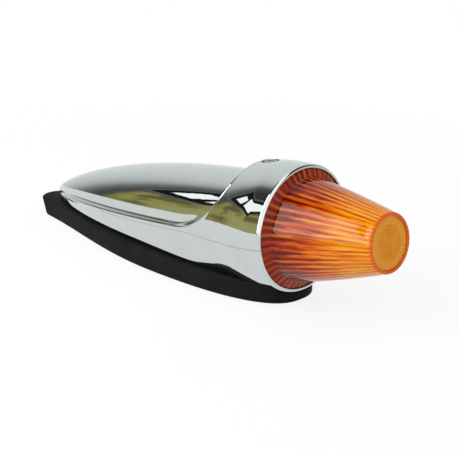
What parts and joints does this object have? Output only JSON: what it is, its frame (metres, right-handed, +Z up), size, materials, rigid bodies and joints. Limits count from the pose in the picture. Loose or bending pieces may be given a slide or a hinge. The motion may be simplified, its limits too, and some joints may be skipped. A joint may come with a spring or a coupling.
{
  "type": "turn signal lamp",
  "caption": "Torpedo-shaped turn signal lamp: chromed housing on a black rubber saddle pad, with a fluted amber cone lens tilted slightly upward.",
  "frame": {"origin": "on the pad's underside, on the centre line, midway between the two mounting threads", "axes": "+X the way the lens points, +Z up from the mounting surface, Y across"},
  "size_m": [0.2602, 0.0666, 0.0697],
  "materials": {
    "chrome": "polished plating",
    "rubber": "moulded, matt",
    "amber": "clear amber, fluted inside",
    "steel": "plain",
    "reflector": "bright",
    "brass": "plain",
    "nickel": "nickel plated",
    "fibre": "fibre",
    "black_glass": "fused",
    "clear_glass": "clear",
    "tungsten": "drawn",
    "block": "moulded",
    "lead_red": "insulation",
    "lead_black": "insulation"
  },
  "bodies": {
    "base": {"housing": "chrome", "base_pad": "rubber", "lens_seal": "rubber", "reflector": "reflector", "reflector_screws": "steel", "reflector_nuts": "steel", "earth_tag": "brass", "socket_shell": "nickel", "contact_spring": "steel", "rear_insulator": "fibre", "rear_contact": "brass", "terminal_block": "block", "terminal_barrels": "brass", "terminal_screws": "steel", "block_screw": "steel", "live_lead": "lead_red", "earth_lead": "lead_black", "mount_inserts": "brass"},
    "lens": {"lens": "amber"},
    "screw_washer": {"screw_washer": "steel"},
    "lens_screw": {"lens_screw": "steel"},
    "contact": {"contact_carrier": "fibre", "contact_rivet": "brass"},
    "bulb": {"bulb_glass": "clear_glass", "bulb_stem": "clear_glass", "bulb_supports": "tungsten", "bulb_filament": "tungsten", "bulb_cap": "brass", "bulb_insulator": "black_glass", "bulb_contact": "steel"}
  },
  "joints": [
    {"name": "lens_pull", "type": "slide", "parent": "base", "child": "lens", "axis": [0.9938, 0, 0.1115], "range_m": [0, 0.025]},
    {"name": "screw_lift", "type": "slide", "parent": "base", "child": "screw_washer", "axis": [-0.1115, 0, 0.9938], "range_m": [0, 0.0056]},
    {"name": "screw_turn", "type": "hinge", "parent": "screw_washer", "child": "lens_screw", "pos_m": [0.08052, 0, 0.03542], "axis": [-0.1115, 0, 0.9938], "range_deg": [0, 2900]},
    {"name": "bulb_push", "type": "slide", "parent": "base", "child": "contact", "axis": [-0.9938, 0, -0.1115], "range_m": [0, 0.0025], "stiffness_N_per_m": 1500, "springref_m": -0.003, "deforming": ["contact_spring"]},
    {"name": "bulb_turn", "type": "hinge", "parent": "contact", "child": "bulb", "pos_m": [0.1, 0, 0.0376], "axis": [0.9938, 0, 0.1115], "range_deg": [0, 25]}
  ],
  "couplings": [
    {"joint": "screw_turn", "follows": "screw_lift", "rad_per_m": 8976}
  ]
}
